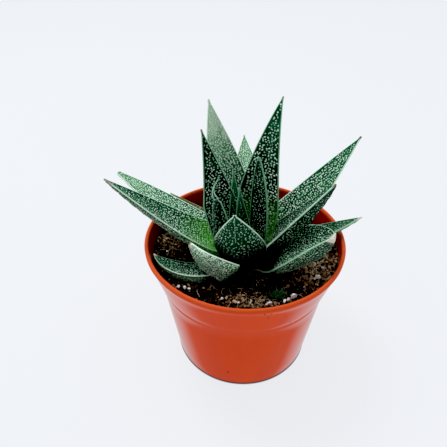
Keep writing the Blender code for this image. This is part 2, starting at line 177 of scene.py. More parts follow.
# heading is a leaf's direction, rise its slope at the foot and at the tip, bend how early the slope
# changes, swing how far its direction turns along it, and roll its turn about its own length. foot
# is the direction, distance and height of its start from the stem's middle. full is the share of
# its length, from the tip, where it is widest, taper how bluntly it widens, and cut the share by
# which its tip falls short of a point. Angles are in degrees and sizes in mm.
Leaf = namedtuple(
    "Leaf",
    "name heading rise length width foot thick swing roll bend full taper cut young",
    defaults=(6.5, 0, 0, 4, 0.8, 1.35, 0, False),
)
LEAVES = (  # from the heart of the plant outwards
    Leaf("leaf_young_small", 182, (77.5, 88), 31.4, 7.1, (253, 2.3, 63), 2, roll=70.5, bend=1,
         taper=1.5, young=True),
    Leaf("leaf_young_middle", 104, (87, 68.5), 32.2, 5.9, (176, 6, 65), 2.5, bend=1,
         taper=1.75, young=True),
    Leaf("leaf_young_right", 72, (88, 103), 46.5, 9, (341, 4.1, 64), 3, roll=18.5, bend=1,
         taper=2.45, cut=0.03, young=True),
    Leaf("leaf_young_left", 234.5, (84, 79), 28, 9.3, (204.5, 12, 64), 2.5, roll=-4.5, bend=1,
         taper=2.4, cut=0.13, young=True),
    Leaf("leaf_upright_left", 168.5, (82, 76), 57.3, 14.5, (178.5, 9.4, 61), 5, roll=54, bend=1,
         full=0.57, taper=0.95),
    Leaf("leaf_upright_right", 56, (92, 59.5), 66.5, 19.7, (64.5, 6, 61), 6, roll=-16, bend=1,
         full=0.73, taper=1.2),
    Leaf("leaf_upright_back", 134.5, (64, 72), 66, 20.3, (104, 8, 59), 6, roll=8.5, bend=1,
         full=0.6),
    Leaf("leaf_front_middle", 254.5, (33, 69), 39.3, 22.3, (230, 1.8, 58.2), 6.2, roll=-10.5,
         full=0.57, taper=1.5),
    Leaf("leaf_right_middle", 354.4, (55.5, 50), 48.7, 19.7, (353, 3, 60), 6.9, roll=7,
         full=0.91, taper=1.23),
    Leaf("leaf_left_long", 182, (8, 36), 66, 19, (180, 4, 63)),
    Leaf("leaf_right_long", 24, (28, 49), 67, 21, (25, 3, 60), roll=-15),
    Leaf("leaf_left_behind", 158, (5, 22), 68, 17, (158, 4, 61), taper=2, cut=0.04),
    Leaf("leaf_back_middle", 95, (10, 30), 62, 18, (78, 4, 60), roll=4, full=0.64, taper=1.7),
    Leaf("leaf_front_left", 159, (2, 34.5), 25.5, 22.3, (263.5, 15.7, 63.1), 7, swing=5,
         roll=-43.5, bend=0.51, full=0.43, taper=1.85, cut=0.04),
    Leaf("leaf_front_right", 353, (27, 38), 39.2, 25.5, (322, 6, 60), 10, swing=-43, roll=-10,
         bend=5, taper=2.7, cut=0.05),
    Leaf("leaf_back_short", 144, (4, 12.7), 46, 15.8, (140, 4, 60.5), 5),
    Leaf("leaf_low_right", 8.5, (4, 21), 49, 16, (9, 4, 59.5), 5.5),
    Leaf("leaf_low_left", 218, (1, 5), 35.6, 13.5, (218.5, 13, 57.1), 6.4, swing=-83, roll=-18,
         full=0.61, taper=1.8),
    Leaf("leaf_low_back", 74, (0, 12), 38, 16, (68, 4, 60), 5.5),
    Leaf("leaf_low_back_left", 112, (0, 12), 39, 15, (112, 4, 60), 5.5),
)

# How each leaf differs: bright is the strength of the yellow-green at its foot, pale the lightness
# of its upper face, under how much lighter its lower face is (painted light and shade, set leaf by
# leaf to how lit that face looks), tip how much lighter both are towards the tip, net the strength
# of the pale net on the lower face, stain the share of its length, from the foot, that is
# painted near-black as shade, dry the length of its dried tip as a share of the leaf, cream how
# light that tip is, brown how far the blade has turned olive-brown, pitch and size the spacing
# and radius of the upper face's tubercles in mm, dots the lightness of all its tubercles, lean how
# far the painted shade reaches further on one side, low_pitch and low_size the lower face's
# tubercles, rim how much lighter the margins are than the tubercles, and above the share of the
# painted shade that the upper face has.
Look = namedtuple(
    "Look",
    "bright pale tip net stain dry cream brown pitch size under dots lean low_pitch low_size rim "
    "above",
    defaults=(0.4, 0.35, 0.2, 0.4, 0, 0, 0.5, 0, 1.2, 0.38, 0, 0.72, 0, 1.3, 0.33, 0.04, 1),
)
LOOKS = {
    "leaf_young_small": Look(0.2, 0.15, 0.25, 0.1, pitch=1.4, size=0.32, rim=-0.3),
    "leaf_young_middle": Look(0.2, 0.2, 0.25, 0.1, pitch=1.4, size=0.32, rim=-0.3),
    "leaf_young_right": Look(0.15, 0, 0.12, 0.1, pitch=1.4, size=0.38, dots=0.75, rim=-0.4),
    "leaf_young_left": Look(0.05, 0, 0, 0, pitch=1.3, size=0.36, under=-0.02, dots=0.55,
                            rim=-0.1),
    "leaf_upright_left": Look(0.15, 0, 0.08, 0.1, dry=0.02, cream=0.2, pitch=1.35, size=0.42,
                              dots=0.75, rim=-0.3),
    "leaf_upright_right": Look(1.3, 0.02, 0.3, 0.1, dry=0.02, cream=0.3, pitch=1.4, size=0.44,
                               dots=0.8, rim=-0.35),
    "leaf_upright_back": Look(0.6, 0.27, 0.85, 0.2, pitch=1.2, size=0.44, dots=1.1,
                              under=-0.3),
    "leaf_front_middle": Look(0.1, 0.2, 0.15, 0, stain=0.7, pitch=0.86, size=0.27, under=-0.08,
                              rim=0.1),
    "leaf_right_middle": Look(1.1, 0.15, 0.2, 0.05, stain=0.42, dry=0.03, cream=0, pitch=1.35,
                              size=0.32, under=-0.16, dots=0.75, above=0),
    "leaf_left_long": Look(1.25, 0.22, 0.15, 0.3, dry=0.06, cream=0.2, pitch=1.2, dots=0.78,
                           under=-0.15),
    "leaf_right_long": Look(0.9, 0.25, 0.25, 0.2, dry=0.02, cream=0, pitch=1.15, size=0.42,
                            dots=0.85, under=-0.3),
    "leaf_left_behind": Look(0.4, 0.42, 0.25, 0.3, pitch=1.05, size=0.42, dots=1, under=-0.1),
    "leaf_back_middle": Look(0.5, 0.4, 0.3, 0.3, pitch=0.95, size=0.4, dots=1.1),
    "leaf_front_left": Look(0.3, 0.4, 0.2, 0.4, stain=0.38, dry=0.06, cream=1, under=0.1,
                            dots=1, lean=0.33, low_pitch=1.05, low_size=0.42, rim=0.1),
    "leaf_front_right": Look(0.15, 0.14, 0.05, 0.1, stain=0.34, dry=0.022, cream=0.8, pitch=1.3,
                             size=0.33, dots=0.7, rim=-0.05),
    "leaf_back_short": Look(0.4, 0.15, 0.1, 0.1, brown=0.85, dots=0.4),
    "leaf_low_right": Look(0.4, 0.3, 0.3, 0.3, dry=0.05, cream=0.9),
    "leaf_low_left": Look(0.1, 0.2, 0.2, 0.3, stain=0.4, dry=0.05, cream=1, under=0.42, dots=0.8),
    "leaf_low_back": Look(),
    "leaf_low_back_left": Look(),
}
CURLS = {                   # dried, curled tips: paths of their edges from the blade's end, in mm
    "leaf_young_left": (
        ((-1.1, 0.1, -0.3), (-2.0, 1.2, 1.5), (-2.2, 2.1, 2.8), (-1.9, 3.2, 4.2),
         (-1.0, 4.3, 5.6), (0.2, 5.5, 7.2)),
        ((0.5, 0.2, 0.1), (-0.3, 0.9, 1.2), (-1.3, 1.8, 2.3), (-1.7, 2.8, 3.6), (-1.0, 4.0, 5.2)),
    ),
    "leaf_young_right": (
        ((0.3, 0, -1.2), (0, -0.1, -0.1), (-0.9, -0.3, 0.1), (-1.9, -0.5, -0.5),
         (-2.5, -0.6, -1.4), (-2.6, -0.6, -2.3)),
    ),
}
CURL_RADIUS = 0.22 * MM
BRIGHT_REACH = {            # how far up a leaf the yellow-green goes, where it isn't BRIGHT_USUAL
    "leaf_left_long": 0.5, "leaf_upright_right": 0.42, "leaf_right_long": 0.34,
}
BRIGHT_USUAL = 0.28
BRIGHT_FADES = 0.08         # where it starts to fade
PALE_FROM = 0.3             # where a leaf starts to grow lighter towards its tip
PAINTED_SHADE_LEAST = 0.06          # the least share of a leaf's length, at its foot, that painted shade darkens
KEEL_FROM = {               # where the row of tubercles starts on the leaves that show a keel
    "leaf_low_left": 0.5, "leaf_right_long": 0.5, "leaf_low_right": 0.5, "leaf_left_long": 0.5,
    "leaf_front_middle": 0.72,
}

# Light
FLOOR = 3.0                 # half its length
FLOOR_GLOW = 0.82
FLOOR_COLOUR = (0.93, 0.957, 1)
CONTACT_SHADOW = (32.8 * MM, 33.4 * MM)     # the radii where the floor is dark, and no longer so: a painted contact shadow round the pot's foot
BLACK_LEVEL = 0.008         # the linear brightness below which the picture is black
SKY_FRONT, SKY_BACK = 0.32, 1.0     # brightness of the studio on the camera's side and behind
SKY_TOP = 1.25                      # how much brighter it is overhead
SKY_COLOUR = (0.96, 0.98, 1.0)
KEY_POWER = 4               # of the one lamp, in watts
KEY_PLACE = (-0.35, 0.25, 0.9)
KEY_TARGET = (0, 0, 0.07)
KEY_SIZE = 0.35             # its diameter

# Camera
LENS = 36                   # in mm, as is the sensor's width
CAMERA_PLACE = (0, -157.47 * MM, 193.79 * MM)
CAMERA_TURN = (52.4019, 0.0783, 3.3979)     # about X, Y and Z in degrees, from straight down


# Mesh helpers

class Shape:
    """Vertices, faces with a material slot each, and named values per vertex, joined up."""

    def __init__(self):
        self.verts, self.faces, self.slots, self.values = [], [], [], {}
        self.count = 0

    def add(self, verts, faces, slot=0, **values):
        """verts is (n, 3), faces an (m, k) array of indices into them, values numbers or (n,)."""
        self.join(np.asarray(faces) + self.count, slot)
        self.verts.append(np.asarray(verts, float))
        for name in set(self.values) | set(values):
            if name not in self.values:
                self.values[name] = [np.zeros(self.count)]
            given = np.broadcast_to(values.get(name, 0.0), (len(verts),))
            self.values[name].append(np.array(given, float))
        self.count += len(verts)

    def join(self, faces, slot=0):
        """Adds faces between vertices by their indices in the whole shape."""
        self.faces.extend(np.asarray(faces).tolist())
        self.slots.extend([slot] * len(faces) if np.isscalar(slot) else list(slot))

    def build(self, name, materials, smooth=True):
        """Makes an object of it."""
        mesh = bpy.data.meshes.new(name)
        mesh.from_pydata(np.concatenate(self.verts).tolist(), [], self.faces)
        for material in materials:
            mesh.materials.append(material)
        mesh.polygons.foreach_set("material_index", np.array(self.slots, np.int32))
        mesh.polygons.foreach_set("use_smooth", np.full(len(self.faces), smooth))
        for key, parts in self.values.items():
            attribute = mesh.attributes.new(key, "FLOAT", "POINT")
            attribute.data.foreach_set("value", np.concatenate(parts).astype(np.float32))
        mesh.validate()
        mesh.update()
        return linked(name, mesh)


def linked(name, data):
    """A new object in the scene, made of a mesh, a light or a camera."""
    obj = bpy.data.objects.new(name, data)
    bpy.context.collection.objects.link(obj)
    return obj


def unit(v):
    """Vectors brought to length 1."""
    return v / np.maximum(np.linalg.norm(v, axis=-1, keepdims=True), 1e-12)


def smoothstep(low, high, x):
    """0 up to low, 1 from high, and a soft rise between them."""
    x = np.clip((x - low) / (high - low), 0, 1)
    return x * x * (3 - 2 * x)


def ring_faces(rings, count):
    """Quads between successive rings of count vertices each."""
    i, j = np.meshgrid(np.arange(rings - 1), np.arange(count), indexing="ij")
    k = (j + 1) % count
    quads = np.stack([i * count + j, (i + 1) * count + j, (i + 1) * count + k, i * count + k], -1)
    return quads.reshape(-1, 4)


def domes(points, normals, lengthwise, long_radius, short_radius, height):
    """A low six-sided dome at each point: (vertices, quads, triangles, dome of each vertex)."""
    n = len(points)
    tangent = unit(lengthwise - normals * np.sum(lengthwise * normals, -1, keepdims=True))
    side = np.cross(normals, tangent)
    turn = np.arange(DOME_SIDES) * 2 * math.pi / DOME_SIDES
    circle = np.stack([np.cos(turn), np.sin(turn)], 1)
    local = np.concatenate([
        np.c_[circle, np.full(DOME_SIDES, DOME_SINK)],
        np.c_[circle * DOME_SHOULDER[0], np.full(DOME_SIDES, DOME_SHOULDER[1])],
        [[0, 0, 1]],
    ])
    verts = (points[:, None]
             + tangent[:, None] * (local[:, 0] * long_radius[:, None])[..., None]
             + side[:, None] * (local[:, 1] * short_radius[:, None])[..., None]
             + normals[:, None] * (local[:, 2] * height[:, None])[..., None])
    j = np.arange(DOME_SIDES)
    k = (j + 1) % DOME_SIDES
    quads = np.stack([j, k, DOME_SIDES + k, DOME_SIDES + j], 1)
    caps = np.stack([DOME_SIDES + j, DOME_SIDES + k, np.full(DOME_SIDES, 2 * DOME_SIDES)], 1)
    base = (np.arange(n) * len(local))[:, None, None]
    return (verts.reshape(-1, 3), (quads + base).reshape(-1, 4), (caps + base).reshape(-1, 3),
            np.repeat(np.arange(n), len(local)))


# Materials

class Graph:
    """A node tree. Its methods add a node and give an output, and take values or outputs."""

    def __init__(self, tree):
        self.tree = tree

    def feed(self, inlet, value):
        """Gives an input a value, or links an output to it. A colour has three parts."""
        if isinstance(value, bpy.types.NodeSocket):
            self.tree.links.new(value, inlet)
        else:
            inlet.default_value = (*value, 1) if inlet.type == "RGBA" else value

    def feed_all(self, node, **values):
        """Feeds several inputs by name, with _ for a space."""
        for key, value in values.items():
            self.feed(node.inputs[key.replace("_", " ")], value)

    def node(self, kind, output, **settings):
        """Any node, whose settings name properties or inputs."""
        node = self.tree.nodes.new(kind)
        for key in [key for key in settings if hasattr(node, key)]:
            setattr(node, key, settings.pop(key))
        self.feed_all(node, **settings)
        return node.outputs[output]

    def value(self, name):
        """A named value of the mesh."""
        return self.node("ShaderNodeAttribute", "Fac", attribute_name=name)

    def where(self, stretch=(1, 1, 1)):
        """The place on the object, stretched along its axes."""
        where = self.node("ShaderNodeTexCoord", "Object")
        if stretch == (1, 1, 1):
            return where
        return self.node("ShaderNodeMapping", "Vector", Vector=where, Scale=stretch)

    def noise(self, scale, detail=3, rough=0.55, stretch=(1, 1, 1)):
        """Noise over the object; scale is in features per metre."""
        return self.node("ShaderNodeTexNoise", "Fac", Vector=self.where(stretch), Scale=scale,
                         Detail=detail, Roughness=rough)

    def net(self, scale):
        """The distance to the lines of a wandering net; scale is in meshes per metre."""
        where = self.where()
        wander = self.node("ShaderNodeTexNoise", "Color", Vector=where, Scale=scale * 0.8, Detail=2)
        where = self.vector_maths("MULTIPLY_ADD", 0, wander, (0.7 / scale,) * 3, where)
        return self.node("ShaderNodeTexVoronoi", "Distance", feature="DISTANCE_TO_EDGE",
                         Vector=where, Scale=scale)

    def ramp(self, value, low, high, low_value=0.0, high_value=1.0):
        """A straight rise of a value from low to high, and level beyond them."""
        return self.node("ShaderNodeMapRange", "Result", Value=value, From_Min=low, From_Max=high,
                         To_Min=low_value, To_Max=high_value)

    def blend(self, share, one, other):
        """Two colours mixed by a share of the other."""
        node = self.tree.nodes.new("ShaderNodeMix")
        node.data_type = "RGBA"
        for index, value in ((0, share), (6, one), (7, other)):
            self.feed(node.inputs[index], value)
        return node.outputs[2]

    def maths(self, operation, one, other=0.0, clamp=False):
        """The result of an operation on two numbers."""
        node = self.tree.nodes.new("ShaderNodeMath")
        node.operation = operation
        node.use_clamp = clamp
        self.feed(node.inputs[0], one)
        self.feed(node.inputs[1], other)
        return node.outputs[0]

    def vector_maths(self, operation, output, *values):
        """The result of an operation on vectors."""
        node = self.tree.nodes.new("ShaderNodeVectorMath")
        node.operation = operation
        for inlet, value in zip(node.inputs, values):
            self.feed(inlet, value)
        return node.outputs[output]

    def axis(self, vector, index):
        """One of a vector's three parts."""
        return self.node("ShaderNodeSeparateXYZ", index, Vector=vector)

    def stops(self, value, *places):
        """A colour that runs through (place, colour) stops."""
        node = self.tree.nodes.new("ShaderNodeValToRGB")
        band = node.color_ramp
        while len(band.elements) < len(places):
            band.elements.new(0.5)
        for element, (where, colour) in zip(band.elements, places):
            element.position = where
            element.color = (*colour, 1)
        self.feed(node.inputs[0], value)
        return node.outputs[0]


class Material(Graph):
    """A new material, its node tree and its shader."""

    def __init__(self, name):
        self.material = bpy.data.materials.new(name)
        self.material.use_nodes = True
        super().__init__(self.material.node_tree)
        self.shader = self.tree.nodes["Principled BSDF"]

    def finish(self, relief=None, strength=0, distance=0, **values):
        """Feeds the shader, with a fine relief if one is given, and gives the material."""
        if relief:
            values["Normal"] = self.node("ShaderNodeBump", "Normal", Height=relief,
                                         Strength=strength, Distance=distance)
        self.feed_all(self.shader, **values)
        return self.material


def weathered_with_painted_shade(m, colour, bright, brown, dried, painted_shade_colour):
    """A leaf's colour with its bright foot, its browning, its dried tip and a painted near-black
    shade over its foot.

    bright and brown are a share and a colour each, dried the darkest and the palest colour, and the
    last the colour of the painted shade.
    """
    for name, (share, other) in (("bright", bright), ("brown", brown)):
        colour = m.blend(m.maths("MULTIPLY", m.value(name), share, clamp=True), colour, other)
    colour = m.blend(m.value("dry"), colour, m.blend(m.value("cream"), *dried))
    # painted shade: the foot darkened nearly to black, as where it lies in shade
    return m.blend(m.value("stain"), colour, painted_shade_colour)


def skin_material():
    """The dark green skin of a blade, with its pale net."""
    m = Material("leaf_skin")
    fine = m.noise(1700, 3)
    cloud = m.ramp(m.noise(300, 4), 0.35, 0.7, -0.1, 0.16)
    tone = m.maths("ADD", cloud, m.value("pale"), clamp=True)
    colour = m.stops(tone, (0, (0.0008, 0.005, 0.003)), (0.25, (0.001, 0.044, 0.017)),
                     (0.5, (0.006, 0.13, 0.048)), (0.8, (0.17, 0.38, 0.20)), (1, (0.50, 0.68, 0.50)))
    net = m.maths("MULTIPLY", m.ramp(m.net(800), 0.03, 0.2, 1, 0),
                  m.ramp(m.noise(620, 3), 0.38, 0.6, 0.15, 1))
    net = m.maths("MULTIPLY", net, m.value("net"), clamp=True)
    colour = weathered_with_painted_shade(m, m.blend(net, colour, (0.38, 0.54, 0.37)),
                       bright=(m.ramp(fine, 0.3, 0.62, 0.45, 1.0), (0.045, 0.32, 0.010)),
                       brown=(m.ramp(fine, 0.3, 0.7, 0.7, 1.1), (0.13, 0.12, 0.045)),
                       dried=((0.13, 0.10, 0.055), (0.95, 0.95, 0.80)),
                       painted_shade_colour=(0.0015, 0.0015, 0.0018))
    return m.finish(m.noise(3200, 2), 0.35, 0.00012, Base_Color=colour, Specular_IOR_Level=0.1,
                    Roughness=m.ramp(fine, 0.3, 0.7, 0.42, 0.62))


def tubercle_material():
    """The pale wax of the tubercles, the margins and the keel."""
    m = Material("leaf_tubercles")
    fine = m.noise(2200, 2)
    light = m.maths("ADD", m.value("shade"), m.ramp(fine, 0.3, 0.7, -0.15, 0.15), clamp=True)
    colour = m.stops(light, (0, (0.03, 0.16, 0.075)), (0.5, (0.22, 0.54, 0.31)),
                     (1, (0.76, 1.0, 0.81)))
    colour = weathered_with_painted_shade(m, colour, bright=(0.5, (0.20, 0.55, 0.06)), brown=(0.6, (0.36, 0.34, 0.19)),
                       dried=((0.20, 0.16, 0.09), (1.0, 1.0, 0.88)), painted_shade_colour=(0.003, 0.003, 0.003))
    return m.finish(fine, 0.25, 0.00008, Base_Color=colour, Specular_IOR_Level=0.15,
                    Roughness=m.ramp(fine, 0.3, 0.7, 0.42, 0.62))


def pot_material(name, orange, deep, low=None):
    """Terracotta-coloured moulded plastic with faint flow marks and a dusting of soil.

    Its gloss shows only where it is seen at a slant. low, if given, is a painted shade: the colour
    it darkens to down at the soil.
    """
    m = Material(name)
    flow = m.noise(60, 4, 0.6, (1, 1, 0.25))
    dust = m.noise(420, 5, 0.7)
    colour = m.blend(m.ramp(flow, 0.3, 0.7), deep, orange)
    colour = m.blend(m.ramp(dust, 0.62, 0.82, 0, 0.12), colour, (0.45, 0.17, 0.10))
    height = m.axis(m.where(), 2)
    # painted highlight: the top of the lip paler, as where light falls on it from above
    colour = m.blend(m.ramp(height, *LIP_HIGHLIGHT_HEIGHTS), colour, LIP_HIGHLIGHT_COLOUR)
    # painted shade: the inside darkens to near-black down at the soil
    if low:
        colour = m.blend(m.ramp(height, POT_HEIGHT - MM, SOIL_LEVEL), colour, low)
    slant = m.node("ShaderNodeLayerWeight", "Facing")
    step, near, far = STEP_MATT
    from_step = m.maths("ABSOLUTE", m.maths("SUBTRACT", height, step))
    gloss = m.maths("MULTIPLY", m.ramp(slant, *SHEEN_SLANT), m.ramp(from_step, near, far))
    gloss = m.maths("MULTIPLY", gloss, m.ramp(height, *LIP_MATT, 1, 0))
    return m.finish(m.noise(2600, 2), 0.12, 0.00006, Base_Color=colour, Specular_IOR_Level=0.05,
                    Roughness=m.ramp(flow, 0.3, 0.7, 0.36, 0.46), Coat_Weight=gloss,
                    Coat_Roughness=0.3, Coat_IOR=m.ramp(slant, *SHEEN_RISE, 1, SHEEN_IOR))


def soil_material(name):
    """Near-black moist peat, partly painted shade, and browner and drier where the mesh says so,
    partly painted light.
    """
    m = Material(name)
    fine = m.noise(2400, 4, 0.7)
    tone = m.maths("ADD", m.value("shade"), m.ramp(fine, 0.35, 0.7, -0.2, 0.2), clamp=True)
    # near-black, partly painted shade
    moist_painted_shade = m.blend(m.ramp(m.noise(420, 5, 0.7), 0.4, 0.65), (0.001, 0.001, 0.0015),
                    (0.007, 0.005, 0.004))
    dry = m.stops(tone, (0, (0, 0, 0)), (0.35, (0.44, 0.26, 0.14)), (0.7, (0.92, 0.66, 0.42)),
                  (1, (1.0, 0.92, 0.76)))
    return m.finish(fine, 0.8, 0.0004, Base_Color=m.blend(m.ramp(tone, 0.02, 0.2), moist_painted_shade, dry),
                    Specular_IOR_Level=0.1, Roughness=m.ramp(fine, 0.3, 0.7, 0.75, 0.98))


def simple_noisy(name, dark, light, scale, bumpy=(0.4, 0.0002)):
    """A material that varies between two colours at one scale."""
    m = Material(name)
    value = m.noise(scale, 4, 0.65)
    return m.finish(m.noise(scale * 3, 3), *bumpy,
                    Base_Color=m.blend(m.ramp(value, 0.35, 0.65), dark, light),
                    Roughness=m.ramp(value, 0.35, 0.65, 0.6, 0.9))


# Pot

def wall_radius(z):
    """The pot's outer radius at a height."""
    if z > COLLAR_BOTTOM:
        share = (z - COLLAR_BOTTOM) / (POT_HEIGHT - LIP_HEIGHT - COLLAR_BOTTOM)
        return COLLAR_RADIUS + (RIM_RADIUS - COLLAR_RADIUS) * min(share, 1)
    below = COLLAR_RADIUS - COLLAR_STEP
    return FOOT_RADIUS + (below - FOOT_RADIUS) * z / COLLAR_BOTTOM


def arc(centre, radius, start, end, count):
    """Points of an arc between two angles in degrees."""
    angles = np.radians(np.linspace(start, end, count))
    return [(centre[0] + radius * math.cos(a), centre[1] + radius * math.sin(a)) for a in angles]


def straight(start, end, count):
    """Points between two, without the last."""
    return [tuple(p) for p in np.linspace(start, end, count, endpoint=False)]


def pot_profile():
    """The pot's section, from the axis out under the foot, up, over the lip and back down."""
    ring = FOOT_RADIUS - FOOT_RING_WIDTH
    body_top = wall_radius(COLLAR_BOTTOM - COLLAR_STEP)
    lip = (RIM_RADIUS - LIP_WIDTH / 2, POT_HEIGHT - LIP_WIDTH / 2)
    line = wall_radius(LINE_HEIGHT)
    soft = 0.25 * MM
    flare = [(RIM_RADIUS - inward * MM, POT_HEIGHT - LIP_HEIGHT - down * MM)
             for inward, down in LIP_FLARE]
    return [
        (0, 0), (CENTRE_RADIUS, 0), (CENTRE_RADIUS + WALL, CHANNEL_DEPTH),
        (ring - WALL, CHANNEL_DEPTH), (ring, 0),
        *arc((FOOT_RADIUS - FOOT_ROUND, FOOT_ROUND), FOOT_ROUND, -90, 0, 7),
        *straight((FOOT_RADIUS + 0.2 * MM, FOOT_ROUND + MM), (line, LINE_HEIGHT), 7),
        (line, LINE_HEIGHT),
        (line + LINE_DEPTH, LINE_HEIGHT + 2 * LINE_DEPTH),
        (body_top, COLLAR_BOTTOM - COLLAR_STEP - soft),
        (body_top + soft / 2, COLLAR_BOTTOM - COLLAR_STEP),
        (COLLAR_RADIUS - soft / 3, COLLAR_BOTTOM - soft / 2),
        (COLLAR_RADIUS, COLLAR_BOTTOM + soft),
        *straight((wall_radius(COLLAR_BOTTOM + MM), COLLAR_BOTTOM + MM), flare[0], 6),
        *flare[1:],
        *arc(lip, LIP_WIDTH / 2, 0, 180, 13),
        (RIM_RADIUS - LIP_WIDTH, POT_HEIGHT - LIP_HEIGHT),
        *straight((wall_radius(POT_HEIGHT - 4 * MM) - WALL - 0.1 * MM, POT_HEIGHT - 4 * MM),
                  (wall_radius(COLLAR_BOTTOM + COLLAR_STEP) - WALL, COLLAR_BOTTOM), 5),
        *inner_profile(0),
    ]


def inner_profile(inset):
    """The pot's inside from the collar down and in to the axis, moved in by an inset."""
    wall = WALL + inset
    ring = FOOT_RADIUS - FOOT_RING_WIDTH
    return [
        (wall_radius(COLLAR_BOTTOM + COLLAR_STEP) - wall, COLLAR_BOTTOM),
        (wall_radius(wall) - wall, wall),
        (ring, wall),
        (ring - WALL, CHANNEL_DEPTH + wall),
        (CENTRE_RADIUS + WALL, CHANNEL_DEPTH + wall),
        (CENTRE_RADIUS, wall),
        (0, wall),
    ]


def turned(profile, sides):
    """(vertices, quads, triangles) of a profile turned about Z; it starts and ends on the axis."""
    inner = np.array(profile[1:-1])
    turn = np.arange(sides) * 2 * math.pi / sides
    rings = np.stack([inner[:, None, 0] * np.cos(turn), inner[:, None, 0] * np.sin(turn),
                      np.broadcast_to(inner[:, None, 1], (len(inner), sides))], -1)
    verts = np.concatenate([rings.reshape(-1, 3), [(0, 0, profile[0][1]), (0, 0, profile[-1][1])]])
    quads = ring_faces(len(inner), sides)[:, ::-1]
    j = np.arange(sides)
    k = (j + 1) % sides
    last = (len(inner) - 1) * sides
    start = np.stack([np.full(sides, len(verts) - 2), k, j], 1)
    end = np.stack([np.full(sides, len(verts) - 1), last + j, last + k], 1)
    return verts, quads, np.concatenate([start, end])


def make_pot():
    """The pot, with its drain holes cut through the raised ring of the floor."""
    shape = Shape()
    verts, quads, triangles = turned(pot_profile(), POT_SIDES)
    inside = len(pot_profile()) - len(inner_profile(0)) - INSIDE_POINTS
    shape.add(verts, quads, (np.arange(len(quads)) // POT_SIDES >= inside).astype(int))
    shape.join(triangles)
    outer = pot_material("pot_plastic", (0.78, 0.072, 0.008), (0.70, 0.055, 0.005))
    # painted shade: the inside is the same plastic painted darker, as it looks in the pot's shade
    inner = pot_material("pot_plastic_inside_painted_shade", (0.50, 0.016, 0.004), (0.40, 0.009, 0.003),
                         (0.06, 0.003, 0.002))
    pot = shape.build("pot_shell", [outer, inner])
    cutter = drain_cutter()
    cut = pot.modifiers.new("cut", "BOOLEAN")
    cut.operation = "DIFFERENCE"
    cut.object = cutter
    mesh = bpy.data.meshes.new_from_object(
        pot.evaluated_get(bpy.context.evaluated_depsgraph_get()))
    pot.modifiers.clear()
    pot.data = mesh
    bpy.data.objects.remove(cutter, do_unlink=True)
    mesh.shade_smooth()
    mesh.set_sharp_from_angle(angle=math.radians(SHARP_ANGLE))
    return pot


def drain_cutter():
    """Cylinders where the drain holes are."""
    cutter_mesh = bpy.data.meshes.new("drain_cutter")
    bm = bmesh.new()
    for i in range(DRAIN_HOLES):
        turn = 2 * math.pi * i / DRAIN_HOLES
        where = (DRAIN_DISTANCE * math.cos(turn), DRAIN_DISTANCE * math.sin(turn), CHANNEL_DEPTH)
        bmesh.ops.create_cone(bm, cap_ends=True, segments=40, radius1=DRAIN_RADIUS,
                              radius2=DRAIN_RADIUS, depth=4 * CHANNEL_DEPTH,
                              matrix=Matrix.Translation(where))
    bm.to_mesh(cutter_mesh)
    bm.free()
    return linked("drain_cutter", cutter_mesh)


# Leaves

